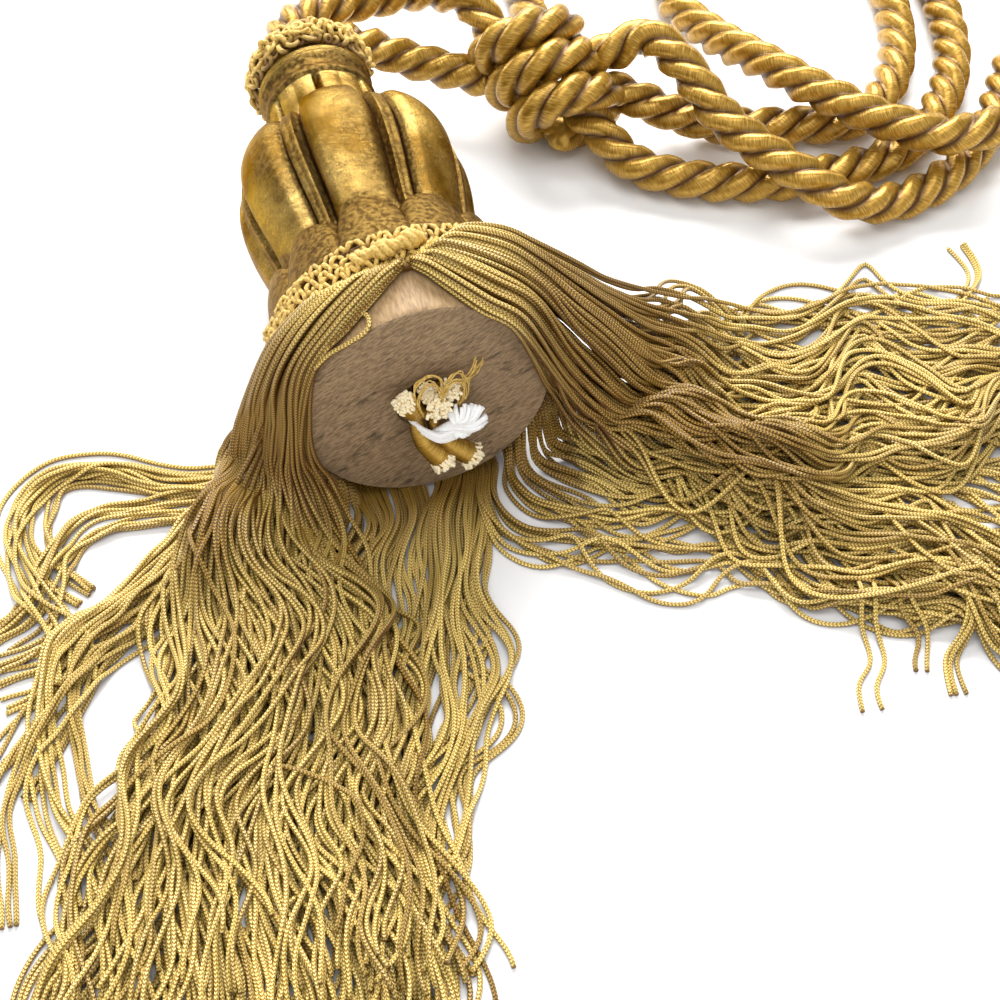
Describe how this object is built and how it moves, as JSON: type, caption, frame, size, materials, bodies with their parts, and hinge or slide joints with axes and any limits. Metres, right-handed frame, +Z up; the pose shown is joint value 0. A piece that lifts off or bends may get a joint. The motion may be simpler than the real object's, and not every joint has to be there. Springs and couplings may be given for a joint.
{
  "type": "curtain tieback tassel",
  "caption": "Curtain tieback tassel: a carved gilded wooden head with a fringe skirt of knitted strands, hung from a looped twisted rope with a wound knot.",
  "frame": {"origin": "on the table under the middle of the bounding box of the tassel without its rope and knot", "axes": "+Z up from the table; +Y away from the viewer, roughly from the sawn base towards the neck; +X to the right, towards the knot and the rope loops"},
  "size_m": [0.3414, 0.4456, 0.0653],
  "materials": {
    "gilded_wood": "carved wood under worn water gilding, with grey-brown patina in the grooves; bare and stained at the drum and sawn base",
    "gold_silk": "glossy gold chainette strands",
    "gold_braid": "looped gold braid",
    "rope_satin": "satin gold three-ply rope, wound so that its fibres shine along each ply",
    "cut_cotton": "matt cream fibre of cut plies",
    "white_yarn": "matt white cotton yarn"
  },
  "bodies": {
    "root": {"wood_head": "gilded_wood", "neck_collar": "gold_braid", "fringe": "gold_silk", "rope_neck_left": "rope_satin", "rope_neck_right": "rope_satin", "rope_loop_inner": "rope_satin", "rope_loop_outer": "rope_satin", "rope_knot": "rope_satin", "ply_end_1": "cut_cotton", "ply_end_2": "cut_cotton", "ply_end_3": "cut_cotton", "ply_end_4": "cut_cotton", "ply_end_5": "rope_satin", "ply_end_6": "rope_satin", "yarn_tie": "white_yarn"}
  },
  "joints": []
}
